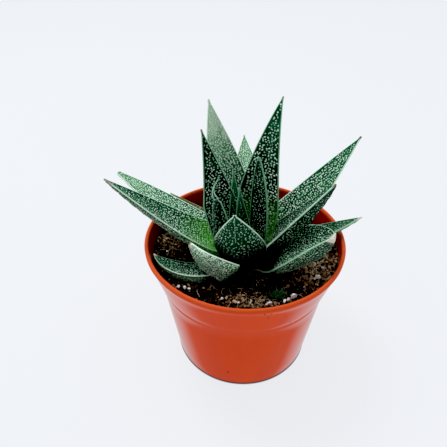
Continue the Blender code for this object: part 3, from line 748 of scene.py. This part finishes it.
class Blade:
    """A leaf's curved surface: its spine sampled finely, and points on its two faces."""

    def __init__(self, leaf, rng):
        self.leaf = leaf
        t = np.linspace(0, 1, SPINE_POINTS)
        rise = np.radians(leaf.rise[1] + (leaf.rise[0] - leaf.rise[1]) * (1 - t) ** leaf.bend)
        heading = np.radians(leaf.heading + leaf.swing * t)
        flat = np.stack([np.cos(heading), np.sin(heading), 0 * t], 1)
        vertical = np.array([0, 0, 1.0])
        along = flat * np.cos(rise)[:, None] + vertical * np.sin(rise)[:, None]
        up = vertical * np.cos(rise)[:, None] - flat * np.sin(rise)[:, None]
        across = np.cross(along, up)
        roll = math.radians(leaf.roll)
        across, up = (across * math.cos(roll) + up * math.sin(roll),
                      up * math.cos(roll) - across * math.sin(roll))
        direction, distance, height = leaf.foot
        turn = math.radians(direction)
        foot = np.array([STEM_X + distance * MM * math.cos(turn),
                         STEM_Y + distance * MM * math.sin(turn), height * MM])
        step = leaf.length * MM / (SPINE_POINTS - 1)
        moves = np.cumsum((along[1:] + along[:-1]) * step / 2, axis=0)
        middle = foot + np.concatenate([np.zeros((1, 3)), moves])
        self.t, self.tracks = t, (middle, across, up, along)
        self.waves = rng.uniform(0, 2 * math.pi, 6)[:4]

    def frame(self, t):
        """Middle, across, up and along at shares of the length."""
        return [np.stack([np.interp(t, self.t, track[:, i]) for i in range(3)], -1)
                for track in self.tracks]

    def half_width(self, t):
        """Half the width at shares of the length."""
        leaf = self.leaf
        u = leaf.cut + (1 - leaf.cut) * (1 - np.minimum(t, 0.98))
        width = 1 - (1 - np.minimum(u / leaf.full, 1)) ** leaf.taper
        over = np.maximum(u - leaf.full, 0) / (1 - leaf.full)
        return leaf.width * MM / 2 * width * (1 - NARROW_FOOT * over ** 2)

    def thickness(self, t):
        """How far the lower face hangs below the upper one."""
        leaf = self.leaf
        u = leaf.cut + (1 - leaf.cut) * (1 - t)
        depth = np.sin(math.pi / 2 * np.minimum(u / THICK_FROM, 1)) ** 0.8
        return leaf.thick * MM * depth * (1 - THIN_FOOT * np.maximum(0, 1 - t / THIN_TO) ** 2)

    def wavy(self, t, s):
        """A slight unevenness of the faces, in metres."""
        a, b, c, d = self.waves
        length = self.leaf.length
        x = s * self.half_width(t) / MM
        return WAVE_HEIGHT * (np.sin(0.55 * length * t + a + 0.4 * x)
                              + np.sin(0.9 * x + b + 0.21 * length * t)
                              + 0.6 * np.sin(1.3 * length * t + c) * np.sin(0.8 * x + d))

    def point(self, t, v, lower):
        """Points on the upper face, or the lower one. v runs across from -1 to 1."""
        middle, across, up, _ = self.frame(t)
        half = np.maximum(self.half_width(t) - EDGE / 4, 0.1 * MM)
        if not lower:
            s = v
            lift = EDGE / 2 - CHANNEL * half * (1 - s * s) + self.wavy(t, s) * (1 - s * s)
        else:
            angle = math.pi / 2 * (1 - np.abs(v))
            s = np.sign(v) * np.cos(angle)
            inward = 1 - np.abs(s)
            keel = KEEL_AT_FOOT + KEEL_MORE * t
            drop = self.thickness(t) * ((1 - keel) * np.sin(angle) + keel * inward)
            dip = CHANNEL * half * (1 - s * s)
            lift = -(EDGE / 2 + dip + drop) + self.wavy(t, s + 7) * np.sin(angle)
        return middle + across * (half * s)[..., None] + up * lift[..., None]

    def normal(self, t, v, lower):
        """Outward normals of a face, and the directions along the leaf."""
        step = 0.004
        run = (self.point(np.minimum(t + step, 1), v, lower)
               - self.point(np.maximum(t - step, 0), v, lower))
        side = (self.point(t, np.minimum(v + step, 1), lower)
                - self.point(t, np.maximum(v - step, -1), lower))
        normal = unit(np.cross(run, side))
        up = self.frame(t)[2]
        facing = np.sum(normal * up, -1, keepdims=True) * (-1 if lower else 1)
        return normal * np.where(facing < 0, -1, 1), unit(run)

    def rings(self, t):
        """Closed cross-sections: upper face, right margin, lower face, left margin."""
        tt = t[:, None]
        across_upper = np.linspace(-1, 1, UPPER_CELLS + 1)
        across_upper[1] = -1 + MARGIN_CELL * 2 / UPPER_CELLS
        across_upper[-2] = -across_upper[1]
        upper = self.point(*np.broadcast_arrays(tt, across_upper), False)
        lower = self.point(*np.broadcast_arrays(tt, np.linspace(1, -1, LOWER_CELLS + 1)), True)
        _, across, up, _ = self.frame(t)
        beads = []
        for sign in (1, -1):
            one = upper[:, -1] if sign > 0 else lower[:, -1]
            other = lower[:, 0] if sign > 0 else upper[:, 0]
            centre = (one + other) / 2
            radius = np.linalg.norm(one - other, axis=1)[:, None] / 2
            angles = np.linspace(90, -90, EDGE_CELLS + 1)[1:-1] * sign
            beads.append(np.stack([
                centre + up * radius * math.sin(math.radians(a))
                + across * sign * radius * EDGE_REACH * math.cos(math.radians(a))
                for a in angles], 1))
        return np.concatenate([upper, beads[0], lower, beads[1]], 1)


def leaf_values(leaf, t, v, lower):
    """The colour values of a leaf at shares t of its length and places v across a face."""
    look = LOOKS[leaf.name]
    reach = BRIGHT_REACH.get(leaf.name, BRIGHT_USUAL)
    stain = max(look.stain, PAINTED_SHADE_LEAST)
    dry = np.zeros_like(t)
    if look.dry:
        dry = smoothstep(1 - look.dry * 1.3, 1 - look.dry * 0.3, t)
    return {
        "bright": look.bright * (1 - smoothstep(BRIGHT_FADES, reach, t)),
        "pale": look.pale + look.tip * smoothstep(PALE_FROM, 1, t),
        "dry": dry,
        # painted shade over the foot, nearly black, as where the leaf lies in shade
        "stain": (0.98 * (1 - smoothstep(0.6 * stain, stain, t - look.lean * v))
                  * np.where(lower, 1, look.above)),
        "brown": np.full_like(t, look.brown),
        "cream": np.full_like(t, look.cream),
    }


def scatter(blade, lower, pitch, rng):
    """Positions of tubercles on one face, in loose rows across it: (t, v)."""
    leaf = blade.leaf
    rows = int(leaf.length * MM * COVERED / (pitch * ROW_STEP) * ROWS_MORE)
    ts, vs = [], []
    for i in range(rows):
        t = FIRST_ROW + ROWS_REACH * (1 - (1 - (i + 0.5) / rows) ** CROWDING)
        half = float(blade.half_width(np.array(t))) - BARE_MARGIN
        if half < NARROWEST:
            continue
        girth = 2 * math.hypot(half, float(blade.thickness(np.array(t))) if lower else 0)
        count = max(1, int(round(girth / pitch)))
        shift = rng.uniform(0, 1)
        stray = rng.uniform(-STRAY_ACROSS, STRAY_ACROSS, count)
        v = (np.arange(count) + shift + stray) / count * 2 - 1
        v = v[np.abs(v) < 1 - 0.4 * pitch / max(half, pitch)]
        stray = rng.uniform(-STRAY_ALONG, STRAY_ALONG, len(v))
        ts.append(t + stray * pitch / (leaf.length * MM))
        vs.append(v)
    return np.concatenate(ts), np.concatenate(vs)


def add_domes(shape, blade, t, v, lower, radius, stretch, rise, shade, rng, lengthwise=False):
    """Adds tubercles of a mean radius at (t, v), each stretched by up to a factor."""
    t = np.clip(t, 0, 0.98)
    points = blade.point(t, v, lower)
    normals, along = blade.normal(t, v, lower)
    if not lengthwise:
        turn = rng.uniform(0, math.pi, len(t))[:, None]
        along = along * np.cos(turn) + np.cross(normals, along) * np.sin(turn)
    size = radius * rng.uniform(*SIZE_VARIES, len(t))
    share, wide, least = SMALLER_AT_TIP
    size *= np.clip(share + blade.half_width(t) / wide, least, 1)
    longer = rng.uniform(1, stretch, len(t))
    verts, quads, caps, owner = domes(points, normals, along, size * longer,
                                      size / np.sqrt(longer), size * rise)
    values = {key: value[owner] for key, value in leaf_values(blade.leaf, t, v, lower).items()}
    shades = shade + rng.uniform(-SHADE_VARIES, SHADE_VARIES, len(t))
    values["shade"] = np.clip(shades, 0, 1)[owner]
    start = shape.count
    shape.add(verts, quads, 1, **values)
    shape.join(caps + start, 1)


def leaf_shape(blade):
    """A leaf's blade with its margins: slot 0 is its skin, slot 1 the pale margins."""
    leaf = blade.leaf
    look = LOOKS[leaf.name]
    rows = max(24, int(leaf.length * MM / ROW_LENGTH))
    t = np.linspace(0, 1, rows + 1)
    rings = blade.rings(t)
    count = rings.shape[1]
    right = UPPER_CELLS                 # where each ring's right margin, lower face and left
    below = right + EDGE_CELLS          # margin start
    left = below + LOWER_CELLS
    middle, _, _, along = blade.frame(np.array([1.0]))
    tip = middle[0] + along[0] * EDGE * TIP_REACH
    verts = np.concatenate([rings.reshape(-1, 3), [tip]])
    v = np.concatenate([np.linspace(-1, 1, UPPER_CELLS + 1), np.ones(EDGE_CELLS - 1),
                        np.linspace(1, -1, LOWER_CELLS + 1), -np.ones(EDGE_CELLS - 1)])
    column = np.arange(count)
    lower = np.append(np.tile((column >= below) & (column < left), len(t)), 0)
    on_margin = (((column >= right - 1) & (column <= below - 1))
                 | (column > left) | (column <= 1))
    values = leaf_values(leaf, np.append(np.repeat(t, count), 1),
                         np.append(np.tile(v, len(t)), 0), lower)
    values["shade"] = np.full(len(verts), look.dots + look.rim)
    values["net"] = lower * look.net
    # painted light and shade: the lower face lightened where under is above 0 and darkened where it
    # is below, leaf by leaf
    values["pale"] = values["pale"] + lower * look.under
    # the margins take less of the painted shade
    values["stain"] = values["stain"] * (1 - MARGIN_LESS_PAINTED_SHADE * np.append(np.tile(on_margin, len(t)), 1))
    pale_cell = (((column >= right - 1) & (column < below))
                 | (column >= left) | (column == 0)).astype(int)
    shape = Shape()
    shape.add(verts, ring_faces(len(t), count), np.tile(pale_cell, rows), **values)
    last = (len(t) - 1) * count
    fan = np.stack([last + column, np.full(count, len(verts) - 1),
                    last + (column + 1) % count], 1)
    shape.join(fan, pale_cell)
    shape.join([column[::-1]])
    return shape


def add_tubercles(shape, blade, rng):
    """Covers both faces, and the keel of the leaves that show one."""
    leaf = blade.leaf
    look = LOOKS[leaf.name]
    t, v = scatter(blade, False, look.pitch * MM, rng)
    add_domes(shape, blade, t, v, False, look.size * MM, UPPER_STRETCH, UPPER_RISE, look.dots, rng)
    t, v = scatter(blade, True, look.low_pitch * MM, rng)
    add_domes(shape, blade, t, v, True, look.low_size * MM, LOWER_STRETCH, LOWER_RISE,
              look.dots - LOWER_DARKER, rng)
    if leaf.name in KEEL_FROM:
        count = int(leaf.length * MM / KEEL_SPACING)
        t = (np.arange(count) + 0.5) / count
        t = t[t > KEEL_FROM[leaf.name]]
        add_domes(shape, blade, t, 0 * t, True, KEEL_RADIUS, KEEL_STRETCH, KEEL_RISE, KEEL_SHADE,
                  rng, lengthwise=True)


def add_curl(shape, edges, tip):
    """The dried, curled end of a young leaf: the edges of a thin ribbon."""
    for edge in edges:
        verts, faces = tube(tip + np.array(edge) * MM, CURL_RADIUS, 6)
        shape.add(verts, faces, 1, shade=0.62, pale=0.3)


def make_leaves():
    """Every leaf as its own piece, and a tree of each blade to press the soil under."""
    materials = [skin_material(), tubercle_material()]
    pieces, trees = [], []
    for i, leaf in enumerate(LEAVES):
        rng = np.random.default_rng(SEED + i)
        blade = Blade(leaf, rng)
        shape = leaf_shape(blade)
        trees.append(BVHTree.FromPolygons(shape.verts[0].tolist(), list(shape.faces)))
        add_tubercles(shape, blade, rng)
        add_curl(shape, CURLS.get(leaf.name, ()), blade.frame(np.array([1.0]))[0][0])
        pieces.append((leaf, shape.build(leaf.name + "_blade", materials)))
    return pieces, trees


# Soil

def soil_height(x, y):
    """The soil's height where no leaf lies on it."""
    waves = [math.sin(a * x + b * y + c) for a, b, c in SOIL_WAVES]
    height = SOIL_LEVEL + UNEVEN * sum(waves) / len(waves)
    from_stem = math.hypot(x - STEM_X, y - STEM_Y)
    return height - SOIL_DISH * math.exp(-(from_stem / DISH_RADIUS) ** 2)


def rough_height(x, y):
    """The same with the crumbs of the surface."""
    p = Vector((x, y, 0))
    coarse = noise.fractal(p * ROUGH_SCALE, 0.9, 2.1, 4)
    clods = noise.noise(p * CLOD_SCALE)
    height = soil_height(x, y) + MM * (ROUGH * coarse + CLODS * clods * abs(clods))
    near_wall = float(smoothstep(BANK_FROM, soil_top_radius(), math.hypot(x, y)))
    for heading, spread, high in BANKS:
        aside = (math.degrees(math.atan2(y, x)) - heading + 180) % 360 - 180
        height += high * MM * near_wall * math.exp(-(aside / spread) ** 2)
    return height


def on_soil(x, y):
    """The point of the surface at (x, y), spread out to the wall where the soil is higher."""
    z = rough_height(x, y)
    r = math.hypot(x, y)
    rim = soil_top_radius()
    out = (wall_radius(z) - wall_radius(SOIL_LEVEL)) * float(smoothstep(0.8 * rim, rim, r)) / r
    return x * (1 + out), y * (1 + out), z


def below_leaves(x, y, z, trees, clear=UNDER_LEAF):
    """A height lowered to stay under the leaves over a point."""
    start = Vector((x, y, STEM_BOTTOM))
    for tree in trees:
        hit = tree.ray_cast(start, Vector((0, 0, 1)))[0]
        if hit:
            z = min(z, hit.z - clear)
    return z


def dry_and_painted_light(x, y):
    """How brown and dry the surface is at a point, partly as painted light: the right side, left edge
    and front are, where the soil looks lit.
    """
    return min(1, sum(
        strength * math.exp(-(((x / MM - a) / wide) ** 2 + ((y / MM - b) / deep) ** 2))
        for strength, a, b, wide, deep in DRY_AND_PAINTED_LIGHT_PATCHES))


def icosphere():
    """(vertices, triangles) of an icosahedron with a radius of 1."""
    bm = bmesh.new()
    bmesh.ops.create_icosphere(bm, subdivisions=1, radius=1)
    verts = np.array([v.co for v in bm.verts])
    faces = np.array([[v.index for v in f.verts] for f in bm.faces])
    bm.free()
    return verts, faces


def turns(rng, n):
    """Random rotation matrices."""
    q = unit(rng.normal(size=(n, 4)))
    w, x, y, z = q.T
    return np.stack([
        1 - 2 * (y * y + z * z), 2 * (x * y - w * z), 2 * (x * z + w * y),
        2 * (x * y + w * z), 1 - 2 * (x * x + z * z), 2 * (y * z - w * x),
        2 * (x * z - w * y), 2 * (y * z + w * x), 1 - 2 * (x * x + y * y),
    ], -1).reshape(n, 3, 3)


def lumps(rng, centres, sizes, uneven, squeeze=(1, 0.75, 0.6)):
    """Irregular stones: (vertices, triangles, lump of each vertex)."""
    base, faces = icosphere()
    n = len(centres)
    radii = 1 + rng.uniform(-uneven, uneven, (n, len(base)))
    axes = np.array(squeeze) * rng.uniform(0.8, 1.2, (n, 3))
    local = base[None] * radii[..., None] * axes[:, None]
    verts = np.einsum("nij,nkj->nki", turns(rng, n), local) * sizes[:, None, None]
    verts += centres[:, None]
    faces = faces[None] + (np.arange(n) * len(base))[:, None, None]
    return verts.reshape(-1, 3), faces.reshape(-1, 3), np.repeat(np.arange(n), len(base))


def make_lumps(name, material, verts, faces, **values):
    """A piece with flat facets."""
    shape = Shape()
    shape.add(verts, faces, **values)
    return shape.build(name, [material], smooth=False)


def tube(path, radius, sides=4):
    """(vertices, quads) of a thin tube along a path, tapered at both ends."""
    path = np.asarray(path)
    run = unit(np.gradient(path, axis=0))
    helper = np.where(np.abs(run[:, 2:3]) > 0.9, [[1.0, 0, 0]], [[0, 0, 1.0]])
    side = unit(np.cross(run, helper))
    other = np.cross(run, side)
    turn = np.arange(sides) * 2 * math.pi / sides
    share = np.linspace(0, 1, len(path))
    size = radius * (0.25 + 0.75 * np.sin(math.pi * np.clip(share, 0.02, 0.98)) ** 0.4)
    rings = (path[:, None] + size[:, None, None]
             * (side[:, None] * np.cos(turn)[:, None] + other[:, None] * np.sin(turn)[:, None]))
    return rings.reshape(-1, 3), ring_faces(len(path), sides)


def soil_top_radius():
    """The radius of the soil's top."""
    return wall_radius(SOIL_LEVEL) - WALL - SOIL_GAP


def make_soil(trees):
    """The soil's body with its rough top."""
    turn = np.arange(SOIL_SECTORS) * 2 * math.pi / SOIL_SECTORS
    radii = soil_top_radius() * (np.arange(1, SOIL_RINGS + 1) / SOIL_RINGS) ** 0.8
    shade, verts = [], []
    for r in radii:
        for a in turn:
            x, y, z = on_soil(r * math.cos(a), r * math.sin(a))
            verts.append((x, y, below_leaves(x, y, z, trees)))
            patch = noise.noise(Vector((x, y, 1)) * 700)
            # lighter in the dry patches, partly painted light
            shade.append(0.8 * dry_and_painted_light(x, y) * min(max(0.25 + 1.6 * patch, 0), 1))
    sides = inner_profile(SOIL_INSET)[:-1]
    verts += [(r * math.cos(a), r * math.sin(a), z) for r, z in sides for a in turn]
    verts += [(0, 0, rough_height(0, 0)), (0, 0, WALL + SOIL_INSET)]
    shade += [0.05] * (len(verts) - len(shade))
    shape = Shape()
    rings = SOIL_RINGS + len(sides)
    shape.add(verts, ring_faces(rings, SOIL_SECTORS)[:, ::-1], shade=shade)
    j = np.arange(SOIL_SECTORS)
    k = (j + 1) % SOIL_SECTORS
    last = (rings - 1) * SOIL_SECTORS
    shape.join(np.stack([j, k, np.full(SOIL_SECTORS, len(verts) - 2)], 1))
    shape.join(np.stack([np.full(SOIL_SECTORS, len(verts) - 1), last + k, last + j], 1))
    return shape.build("soil_body", [soil_material("soil_peat")])


def scattered(rng, count, trees, keep=None):
    """Points on the soil outside the stem, away from the wall: (n, 3)."""
    found = []
    while len(found) < count:
        r = (soil_top_radius() - WALL_CLEAR) * math.sqrt(rng.uniform(0.04, 1))
        a = rng.uniform(0, 2 * math.pi)
        x, y, z = on_soil(r * math.cos(a), r * math.sin(a))
        if keep and not keep(x, y):
            continue
        if below_leaves(x, y, z + MM, trees) < z + MM:
            if rng.uniform() < SKIPPED_UNDER_LEAF:
                continue
            z = below_leaves(x, y, z, trees, 1.2 * MM)
        found.append((x, y, z))
    return np.array(found)


def make_crumbs(trees):
    """Loose crumbs of peat and bark on the soil."""
    rng = np.random.default_rng(CRUMB_SEED)
    points = scattered(rng, CRUMBS, trees) + [0, 0, 0.1 * MM]
    # the crumbs are lighter in the dry patches, partly painted light
    dry = np.array([dry_and_painted_light(x, y) for x, y, _ in points])
    sizes = rng.uniform(*CRUMB_RADIUS, CRUMBS) * MM
    sizes *= np.where(rng.uniform(size=CRUMBS) < BIG_SHARE, BIG_CRUMB, 1)
    verts, faces, owner = lumps(rng, points, sizes, 0.28)
    share = rng.uniform(size=CRUMBS)
    lit = rng.uniform(0.1, 1.1, CRUMBS) ** 1.3 * (0.3 + 0.8 * dry)
    shade = np.where(share < 0.18 + 0.6 * dry, lit, 0.02)
    return make_lumps("soil_crumbs", soil_material("soil_crumb"), verts, faces, shade=shade[owner])


def make_fibres(trees):
    """Coir fibres lying on the soil, most of them where it is dry."""
    rng = np.random.default_rng(FIBRE_SEED)
    points = scattered(rng, FIBRES, trees, lambda x, y: rng.uniform() < 0.12 + dry_and_painted_light(x, y))
    share = np.linspace(0, 1, FIBRE_POINTS)
    shape = Shape()
    for point in points:
        length = rng.uniform(1.6, 4.5) * MM
        angle = rng.uniform(0, 2 * math.pi) + rng.uniform(-1.4, 1.4) * share
        tilt = rng.uniform(-0.15, 0.35)
        path = np.zeros((FIBRE_POINTS, 3))
        path[1:, 0] = np.cumsum(np.cos(angle[1:]) * length / (FIBRE_POINTS - 1))
        path[1:, 1] = np.cumsum(np.sin(angle[1:]) * length / (FIBRE_POINTS - 1))
        path[:, 2] = np.sin(share * math.pi) * length * tilt + 0.25 * MM
        path += point
        if np.hypot(path[:, 0], path[:, 1]).max() >= soil_top_radius() - 0.3 * MM:
            continue
        for p in path:
            ground = rough_height(p[0], p[1]) + 0.1 * MM
            p[2] = below_leaves(p[0], p[1], max(p[2], ground), trees, 0.2 * MM)
        shape.add(*tube(path, rng.uniform(0.05, 0.10) * MM))
    material = simple_noisy("coir", (0.34, 0.20, 0.10), (0.85, 0.66, 0.44), 900)
    return shape.build("soil_fibres", [material])


def make_perlite(trees):
    """White grains of perlite, most of them near the wall in front."""
    rng = np.random.default_rng(PERLITE_SEED)
    centres = []
    for x, y, size in np.array(PERLITE) * MM:
        z = rough_height(x, y) + 0.35 * size
        centres.append((x, y, below_leaves(x, y, z, trees, size)))
    sizes = np.array(PERLITE)[:, 2] * MM
    verts, faces, _ = lumps(rng, np.array(centres), sizes, 0.22, (1, 0.8, 0.7))
    material = simple_noisy("perlite", (0.82, 0.80, 0.77), (1.0, 0.99, 0.97), 1200, (0.5, 0.0002))
    return make_lumps("perlite", material, verts, faces)


def make_bark(trees):
    """Chips of bark half sunk in the soil."""
    rng = np.random.default_rng(BARK_SEED)
    points = scattered(rng, BARK_CHIPS, trees, lambda x, y: rng.uniform() < 0.25 + dry_and_painted_light(x, y))
    points[0] = (*FRONT_CHIP, rough_height(*FRONT_CHIP) + 0.6 * MM)
    sizes = rng.uniform(0.8, 1.7, BARK_CHIPS) * MM
    sizes[0] = FRONT_CHIP_RADIUS
    verts, faces, _ = lumps(rng, points, sizes, 0.2, (1, 0.6, 0.35))
    material = simple_noisy("bark", (0.06, 0.028, 0.014), (0.34, 0.19, 0.10), 700, (0.7, 0.0003))
    return make_lumps("bark_chips", material, verts, faces)


def make_moss():
    """A small tuft of moss near the front rim: short blades standing in a clump."""
    rng = np.random.default_rng(MOSS_SEED)
    share = np.linspace(0, 1, 5)
    shape = Shape()
    for _ in range(MOSS_BLADES):
        r = MOSS_RADIUS * math.sqrt(rng.uniform())
        a = rng.uniform(0, 2 * math.pi)
        x, y = MOSS_X + 1.3 * r * math.cos(a), MOSS_Y + 0.8 * r * math.sin(a)
        z = rough_height(x, y) - 0.2 * MM
        lean = rng.uniform(-0.6, 0.6, 2)
        height = rng.uniform(1.0, 3.0) * MM
        path = np.stack([x + lean[0] * height * share ** 2, y + lean[1] * height * share ** 2,
                         z + height * share], 1)
        shape.add(*tube(path, rng.uniform(0.07, 0.12) * MM))
    material = simple_noisy("moss", (0.004, 0.03, 0.015), (0.07, 0.26, 0.11), 1500)
    return shape.build("moss_tuft", [material])


def make_specks():
    """Specks of soil stuck to the outside of the pot."""
    angle, height, sizes = np.array(SPECKS).T
    angle, height, sizes = np.radians(angle), height * MM, sizes * MM
    radius = np.array([wall_radius(z) for z in height])
    centres = np.stack([radius * np.cos(angle), radius * np.sin(angle), height], 1)
    verts, faces, _ = lumps(np.random.default_rng(SPECK_SEED), centres, sizes, 0.25, (1, 0.7, 0.5))
    material = simple_noisy("speck", (0.010, 0.006, 0.004), (0.05, 0.03, 0.02), 2500)
    return make_lumps("pot_specks", material, verts, faces)


def make_stem():
    """The short stem inside the leaf bases."""
    dome = arc((0, STEM_TOP - STEM_RADIUS), STEM_RADIUS, 0, 90, 9)
    profile = [(0, STEM_BOTTOM), (0.8 * STEM_RADIUS, STEM_BOTTOM), *dome[:-1], (0, STEM_TOP)]
    verts, quads, triangles = turned(profile, 48)
    shape = Shape()
    shape.add(verts + [STEM_X, STEM_Y, 0], quads)
    shape.join(triangles)
    material = simple_noisy("stem", (0.05, 0.09, 0.02), (0.16, 0.22, 0.06), 500)
    return shape.build("stem_core", [material])


# Stage

def make_floor():
    """A pale surface that glows, so that the plant casts hardly any shadow on it, with a painted
    contact shadow round the pot's foot.
    """
    mesh = bpy.data.meshes.new("floor")
    outline = [(-FLOOR, -FLOOR, 0), (FLOOR, -FLOOR, 0), (FLOOR, FLOOR, 0), (-FLOOR, FLOOR, 0)]
    mesh.from_pydata(outline, [], [(0, 1, 2, 3)])
    m = Material("floor")
    distance = m.vector_maths("LENGTH", 1, m.where())
    # painted contact shadow: the glow fades to nothing at the pot's foot
    mesh.materials.append(m.finish(
        Base_Color=m.blend(m.noise(3, 2), (0.10,) * 3, (0.11,) * 3), Roughness=0.9,
        Specular_IOR_Level=0, Emission_Color=FLOOR_COLOUR,
        Emission_Strength=m.ramp(distance, *CONTACT_SHADOW, 0, FLOOR_GLOW)))
    floor = linked("floor", mesh)


def key_light():
    """A round soft light above, behind and to the left."""
    data = bpy.data.lights.new("key", "AREA")
    data.shape = "DISK"
    data.size = KEY_SIZE
    data.energy = KEY_POWER
    light = linked("key", data)
    light.location = KEY_PLACE
    light.rotation_mode = "QUATERNION"
    light.rotation_quaternion = (Vector(KEY_TARGET) - Vector(KEY_PLACE)).to_track_quat("-Z", "Y")


def make_lights():
    """A pale studio: bright behind and above, darker on the camera's side."""
    world = bpy.data.worlds.new("studio")
    world.use_nodes = True
    sky = Graph(world.node_tree)
    where = sky.node("ShaderNodeTexCoord", "Generated")
    depth = sky.ramp(sky.axis(where, 1), -1, 1, SKY_FRONT, SKY_BACK)
    height = sky.ramp(sky.axis(where, 2), 0, 1, 1, SKY_TOP)
    sky.feed_all(sky.tree.nodes["Background"], Color=SKY_COLOUR,
                 Strength=sky.maths("MULTIPLY", depth, height))
    bpy.context.scene.world = world
    key_light()
    view = bpy.context.scene.view_settings
    view.view_transform = "Standard"
    view.use_curve_mapping = True
    view.curve_mapping.black_level = (BLACK_LEVEL,) * 3
    view.curve_mapping.update()


def make_camera():
    """The photograph's viewpoint, with a lens as long as the picture is wide."""
    data = bpy.data.cameras.new("camera")
    data.lens = data.sensor_width = LENS
    data.clip_start = 0.01
    data.clip_end = 20
    camera = linked("camera", data)
    camera.location = CAMERA_PLACE
    camera.rotation_euler = [math.radians(angle) for angle in CAMERA_TURN]
    bpy.context.scene.camera = camera


def place(obj, slot, *nodes):
    """Puts a piece on the part's one body, in place of CAD nodes; slot is not used."""
    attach(obj, "root")
    if nodes:
        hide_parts(*nodes)


make_camera()
make_lights()
make_floor()
place(make_pot(), "pot", "pot")
place(make_specks(), "soil")
place(make_stem(), "stem", "stem")
leaf_pieces, blade_trees = make_leaves()
for leaf, piece in leaf_pieces:
    place(piece, "young_leaf" if leaf.young else "leaf", leaf.name)
place(make_soil(blade_trees), "soil", "soil")
for maker in (make_crumbs, make_fibres, make_perlite, make_bark):
    place(maker(blade_trees), "soil")
place(make_moss(), "soil")
